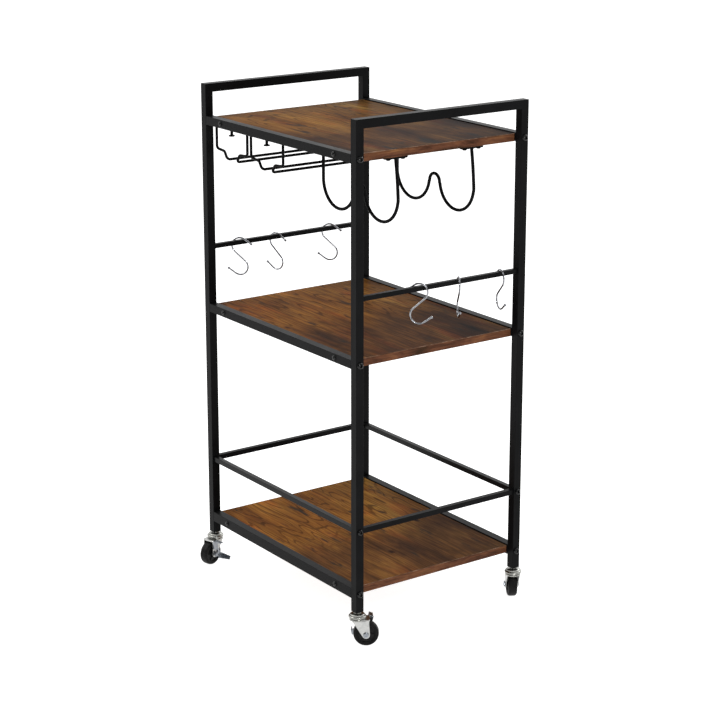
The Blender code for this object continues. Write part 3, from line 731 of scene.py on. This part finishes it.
def rounded_bar(x0, x1, y0, y1, radius, z):
    """Outline of a rounded rectangle at height z."""
    outline = []
    for cx, cy, start in ((x1 - radius, y1 - radius, 0), (x0 + radius, y1 - radius, 90),
                          (x0 + radius, y0 + radius, 180), (x1 - radius, y0 + radius, 270)):
        for k in range(5):
            angle = math.radians(start + 22.5 * k)
            outline.append((cx + radius * math.cos(angle), cy + radius * math.sin(angle), z))
    return outline


def collar(bm, centre, radius):
    """Small weld bead round a wire where it meets its tab."""
    angles = [k / 16 * math.pi for k in range(32)]
    ring = [(centre[0] + radius * math.cos(angle), centre[1] + radius * math.sin(angle), centre[2] - 0.2 * MM)
            for angle in angles]
    add_wire(bm, ring, 0.9 * MM, 8, closed=True, wobble=lambda i: 1.0 + 0.15 * math.sin(i * 2.1))


def wine_racks():
    """One bent wire per rack: two bottle cradles with a raised bend between them."""
    wire = 2.8 * MM
    tab_half = 6 * MM
    lean = 7.5 * MM
    cradle = 46 * MM
    for end in ENDS:
        node = "wine_rack_" + end
        low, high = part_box(node)
        y = (low.y + high.y) / 2
        roof = high.z
        left, right = low.x + tab_half, high.x - wire
        centre_z = low.z + wire + cradle
        shoulder_z = (roof + centre_z) / 2
        middle = (left + right) / 2
        crest = (right - left - 4 * cradle) / 2
        first = []
        for k in range(18):
            angle = math.radians(180 + 10 * k)
            first.append((left + cradle * (1 + math.cos(angle)), y, centre_z + cradle * math.sin(angle)))
        bend = []
        for k in range(9):
            angle = math.radians(180 - 22.5 * k)
            bend.append((middle + crest * math.cos(angle), y, centre_z - 7.5 * MM + crest * math.sin(angle)))
        second = [(2 * middle - px, py, pz) for px, py, pz in reversed(first)]
        path = [(left, y, roof - 1.5 * MM), (left, y, shoulder_z)] + first + bend + second
        path += [(right - 0.4 * lean, y, shoulder_z), (right - lean, y, roof - 1.5 * MM)]
        bm = bmesh.new()
        add_wire(bm, smooth_path(path, 2.4 * MM), wire, 18)
        for x in (left, right - lean):
            rack_tab(bm, (x, y, roof), 23 * MM, tab_half, TAB, (-14.5 * MM, 14.5 * MM))
            collar(bm, (x, y, roof - TAB), 3.4 * MM)
        piece("bottle_wire_" + end, bm, WIRE_COAT, CART, (node,))


def glass_racks():
    """Two rails per rack: each drops at the strap's end, steps inwards and runs back."""
    wire = 2.4 * MM
    slot = 15.5 * MM
    strap_half = 4.3 * MM
    pin_drop = 14.7 * MM
    for side in SIDES:
        node = "glass_rack_" + side
        low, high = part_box(node)
        x = (low.x + high.x) / 2
        reach = (high.x - low.x) / 2
        half = reach - wire - 0.2 * MM
        roof = high.z
        rail_z = low.z + wire
        step_z = rail_z + 15.5 * MM
        knee_z = step_z - 2 * MM
        front, back = low.y + 5.5 * MM, high.y - 5.5 * MM
        bm = bmesh.new()
        for sign in SIDES.values():
            drop_x = x + sign * half
            knee_x = x + sign * (slot + 9 * MM)
            rail_x = x + sign * slot
            path = [(drop_x, front, roof - MM), (drop_x, front, step_z), (knee_x, front, knee_z),
                    (rail_x, front, rail_z), (rail_x, back, rail_z), (knee_x, back, knee_z),
                    (drop_x, back, step_z), (drop_x, back, roof - MM)]
            add_wire(bm, rounded(path, 6 * MM), wire)
        head = roof - pin_drop
        pin = [(0, roof - MM), (2.5 * MM, roof - MM), (2.5 * MM, head + 2.6 * MM),
               (4.6 * MM, head + 2.4 * MM), (5.4 * MM, head + 1.7 * MM), (5.5 * MM, head + 0.7 * MM),
               (4.8 * MM, head + 0.1 * MM), (0, head)]
        for y in (front, back):
            outline = rounded_bar(x - reach, x + reach, y - strap_half, y + strap_half, 2.2 * MM, roof - TAB)
            add_prism(bm, outline, (0, 0, TAB))
            for sign in SIDES.values():
                collar(bm, (x + sign * half, y, roof - TAB), 2.7 * MM)
            add_lathe(bm, pin, 32, Matrix.Translation((x, y, 0)))
        piece("stem_rails_" + side, bm, WIRE_COAT, CART, (node,), smooth=50)


# ---------------------------------------------------------------------------
# S-hooks
# ---------------------------------------------------------------------------
def joint_matrix(place, axis):
    """Frame at a place, turned about Z so that its Y lies along a level axis."""
    return Matrix.Translation(place) @ Matrix.Rotation(math.atan2(-axis[0], axis[1]), 4, "Z")


def s_hooks():
    """Two open loops of wire, each with a straight end, in the XZ plane of the hook's own frame."""
    loop = 14.38 * MM
    spacing = 39 * MM
    straight = 13.4 * MM
    leave = 55
    cross = math.degrees(math.acos(2 * loop / spacing))
    outward = Vector((math.sin(math.radians(leave)), 0, -math.cos(math.radians(leave))))
    arc = []
    for k in range(10):
        angle = math.radians(leave + (270 - cross - leave) * k / 9)
        arc.append(Vector((loop * math.cos(angle), 0, loop * math.sin(angle))))
    upper = [arc[0] + outward * straight, arc[0] + outward * 5 * MM] + arc
    lower = [Vector((-p.x, p.y, -spacing - p.z)) for p in reversed(upper)]
    path = smooth_path(upper + lower, 1.2 * MM)
    for name, joint in JOINTS.items():
        if not name.startswith("swing_of_"):
            continue
        node = name[len("swing_of_"):]
        bm = bmesh.new()
        add_wire(bm, path, 1.5 * MM, 16, ball=2.4 * MM)
        piece("s_" + node, bm, CHROME, joint["child"], (node,), smooth=60,
              matrix=joint_matrix(joint["pos_m"], joint["axis"]))


# ---------------------------------------------------------------------------
# Casters: local X trails, local Y is the brake side, origin at the post's foot
# ---------------------------------------------------------------------------
TRAIL = 14.5 * MM
AXLE_DROP = -38.0 * MM
CHEEK_IN = 9.7 * MM
CHEEK_OUT = 11.5 * MM
CHEEK_END = 6.5 * MM
STEM_BORE = 4.4 * MM
CROWN_UNDER = -14.4 * MM
CROWN_THICK = 2.8 * MM
WHEEL_HALF = 8.0 * MM
BRAKE_TIPS = (Vector((-25 * MM, 0, -5 * MM)), Vector((8 * MM, 0, 25 * MM)))
BRAKE_REST = {"front_left": -16.0, "front_right": 0.0}  # degrees about the axle
AXLE_PLACE = Matrix.Translation((TRAIL, 0, AXLE_DROP)) @ Matrix.Rotation(-math.pi / 2, 4, "X")


def caster_stem(corner, matrix):
    """Threaded stem, its nut, and the fixed ball race with the riveted end below it."""
    bm = bmesh.new()
    thread = [(3.95 if k % 2 else 3.5, 13.5 - k * 0.62) for k in range(22)]
    add_lathe(bm, in_mm((0, 14), (3.4, 14), *thread, (3.6, -0.3), (0, -0.3)), 32)
    nut = in_mm((0, -0.3), (6.2, -0.3), (6.6, -0.7), (6.6, -2.8), (0, -2.8))
    add_lathe(bm, nut, 48, shape=lambda angle, i: hexagon(angle) if i in (2, 3) else 0.94 * hexagon(angle))
    race = in_mm((0, -2.7), (9.5, -2.8), (11.6, -3.3), (12.4, -4.0), (12.5, -5.1), (11.4, -5.2), (4, -5.2),
                 (4, -14.7), (6.4, -14.7), (6.0, -15.7), (4.4, -16.2), (0, -16.2))
    add_lathe(bm, race, 56)
    piece("stem_" + corner + "_fine", bm, CUP_ZINC, CART, ("stem_" + corner,), matrix=matrix)


def caster_fork(corner, matrix, body):
    """Pressed fork: ball-race cup, crown plate and two tapering cheeks with rolled edges."""
    bm = bmesh.new()
    cup = in_mm((12.0, -5.5), (13.4, -5.9), (14.6, -6.7), (15.0, -7.5), (15.0, -8.5), (14.4, -9.3),
                (13.3, -9.8), (12.9, -10.7), (13.5, -11.6), (13.5, -14.0))
    add_lathe(bm, [(STEM_BORE, -5.5 * MM)] + cup + [(STEM_BORE, -14.3 * MM)], 64)
    piece("race_cup_" + corner, bm, CUP_ZINC, body, matrix=matrix)
    nose = TRAIL + 1 * MM
    rounding = 5.5 * MM
    outline = [(-8 * MM, -CHEEK_OUT, CROWN_UNDER), (nose, -CHEEK_OUT, CROWN_UNDER)]
    for k in range(1, 7):
        angle = math.radians(15 * k)
        outline.append((nose + rounding * math.sin(angle), -CHEEK_OUT + rounding * (1 - math.cos(angle)),
                        CROWN_UNDER))
    outline += [(x, -y, z) for x, y, z in reversed(outline)]
    bm = bmesh.new()
    add_holed_plate(bm, outline, STEM_BORE, CROWN_THICK)
    for y in (CHEEK_IN, -CHEEK_OUT):
        cheek = [(-7.8 * MM, y, -12.2 * MM), (-8 * MM, y, -15.0 * MM), (-5.5 * MM, y, -18.0 * MM)]
        for k in range(13):
            angle = math.radians(215 + 145 * k / 12)
            cheek.append((TRAIL + CHEEK_END * math.cos(angle), y, AXLE_DROP + CHEEK_END * math.sin(angle)))
        cheek.append((TRAIL + 5.3 * MM, y, -16.5 * MM))
        cheek.append((TRAIL + 5.2 * MM, y, -12.2 * MM))
        add_prism(bm, cheek, (0, CHEEK_OUT - CHEEK_IN, 0))
    piece("fork_" + corner + "_fine", bm, ZINC, body, ("fork_" + corner,), bevel=0.5 * MM,
          matrix=matrix)


def caster_axle(corner, matrix, body):
    """Axle with a nut on the brake's side and a dimpled rivet head on the other."""
    bm = bmesh.new()
    nut_face = CHEEK_OUT + (2.6 * MM if corner in BRAKE_REST else 0.3 * MM)
    shaft = [(0, nut_face + 2.4 * MM), (2.4 * MM, nut_face + 2.4 * MM), (3.0 * MM, nut_face + 1.9 * MM),
             (3.0 * MM, -CHEEK_OUT), (0, -CHEEK_OUT)]
    add_lathe(bm, shaft, 32, AXLE_PLACE)
    nut = [(0, nut_face + 2.0 * MM), (4.5 * MM, nut_face + 2.0 * MM), (5.0 * MM, nut_face + 1.6 * MM),
           (5.0 * MM, nut_face), (0, nut_face)]
    add_lathe(bm, nut, 48, AXLE_PLACE, lambda angle, i: hexagon(angle) if i > 1 else 0.95 * hexagon(angle))
    head = in_mm((0, 0.3), (5.0, 0.3), (4.8, 1.1), (3.7, 1.8), (1.6, 2.0), (1.2, 1.3), (0, 1.2))
    add_lathe(bm, [(radius, -CHEEK_OUT - height) for radius, height in head], 40, AXLE_PLACE)
    piece("axle_" + corner + "_fine", bm, STEEL, body, ("axle_" + corner,), matrix=matrix)


def both_sides(*pairs):
    """Closed wheel profile from (radius, depth below the side face) pairs in millimetres, mirrored."""
    half = [(radius, WHEEL_HALF - depth) for radius, depth in in_mm(*pairs)]
    return half + [(radius, -height) for radius, height in reversed(half)]


def caster_wheel(corner, matrix, body):
    """Tyre with rounded shoulders and a parting line; dished hub with ribs and a boss."""
    bm = bmesh.new()
    tyre = both_sides((15.9, 1.2), (16.5, 0.2), (17.3, 0), (18.9, 0.1), (19.1, 0.6), (19.4, 0.5),
                      (20.2, 0.9), (20.9, 2.0), (21.4, 3.9), (21.5, 7.55), (21.42, 7.8))
    add_lathe(bm, tyre, 96, AXLE_PLACE)
    piece("tyre_" + corner, bm, RUBBER, body, ("wheel_" + corner,), matrix=matrix)
    bm = bmesh.new()
    hub = both_sides((3.4, -0.9), (5.9, -0.9), (6.4, -0.5), (6.8, 2.6), (14.2, 2.6), (14.8, 1.0),
                     (16.0, 0.9))
    add_lathe(bm, hub, 72, AXLE_PLACE)
    for k in range(6):
        turn = Matrix.Rotation(math.radians(60 * k), 4, "Z")
        for face in (-1, 1):
            low, high = sorted((face * (WHEEL_HALF - 2.8 * MM), face * (WHEEL_HALF - 1.2 * MM)))
            rib = add_box(bm, (6.2 * MM, -0.7 * MM, low), (14.8 * MM, 0.7 * MM, high))
            bmesh.ops.transform(bm, matrix=AXLE_PLACE @ turn, verts=rib)
    piece("hub_" + corner, bm, HUB, body, matrix=matrix)


def lever_outline():
    """Outline of the lever plate: an arm to each pedal, blended round the pivot."""
    arms = []
    for tip in BRAKE_TIPS:
        along = tip.normalized()
        across = Vector((-along.z, 0, along.x)) * 5 * MM
        arms += [tip * 0.42 + across * 1.2, tip + across, tip - across, tip * 0.42 - across * 1.2]
    outline = []
    for index, corner in enumerate(arms):
        outline.append(corner)
        if index % 4 == 3:
            after = arms[(index + 1) % 8]
            if (corner + after).length > 9 * MM:
                outline += [corner * 0.55 + after * 0.45, corner * 0.35 + after * 0.65]
            else:
                outline.append((corner + after).normalized() * 8 * MM)
    return outline


def pedal_strip(bm, tip, y, low, high, reach, inner, outer):
    """Bar standing outwards from the lever at a tip, from low to high across it, narrowing to 0.72."""
    along = tip.normalized()
    across = Vector((-along.z, 0, along.x))
    loops = []
    for width, level in ((1.0, y), (0.72, y + reach)):
        loop = []
        for offset, depth in ((low, inner), (low, outer), (high, outer), (high, inner)):
            corner = tip + across * offset * width + along * depth
            loop.append(bm.verts.new((corner.x, level, corner.z)))
        loops.append(loop)
    near, far = loops
    bm.faces.new(near)
    bm.faces.new(list(reversed(far)))
    for i in range(4):
        j = (i + 1) % 4
        bm.faces.new((near[j], near[i], far[i], far[j]))


def caster_brake(corner, matrix, body):
    """Rocking lever: a plate on the axle and two ribbed pedals turned outwards."""
    y = CHEEK_OUT + 0.35 * MM
    rest = Matrix.Rotation(math.radians(BRAKE_REST[corner]), 4, "Y")
    bm = bmesh.new()
    add_prism(bm, [(p.x, y, p.z) for p in lever_outline()], (0, 1.9 * MM, 0))
    for tip in BRAKE_TIPS:
        pedal_strip(bm, tip, y, -4.9 * MM, 4.9 * MM, 16.6 * MM, -1.9 * MM, -0.9 * MM)
        for k in (-1, 0, 1):
            rib = k * 3.3 * MM
            pedal_strip(bm, tip, y, rib - 0.9 * MM, rib + 0.9 * MM, 16.4 * MM, -1.2 * MM, -0.1 * MM)
    piece("brake_" + corner + "_fine", bm, STEEL, body, ("brake_" + corner,), bevel=0.3 * MM,
          segments=2, matrix=matrix @ Matrix.Translation((TRAIL, 0, AXLE_DROP)) @ rest)


def casters():
    for corner in CORNERS:
        swivel = JOINTS["swivel_turn_" + corner]
        spin = JOINTS["wheel_spin_" + corner]
        matrix = joint_matrix(swivel["pos_m"], spin["axis"])
        caster_stem(corner, matrix)
        caster_fork(corner, matrix, swivel["child"])
        caster_axle(corner, matrix, swivel["child"])
        caster_wheel(corner, matrix, spin["child"])
        if corner in BRAKE_REST:
            caster_brake(corner, matrix, JOINTS["brake_tip_" + corner]["child"])


bpy.context.scene.view_settings.view_transform = "Standard"
make_camera()
make_world()
make_lights()
make_floor()
end_frames()
long_rails()
panels()
frame_bolts()
panel_screws()
wine_racks()
glass_racks()
s_hooks()
casters()
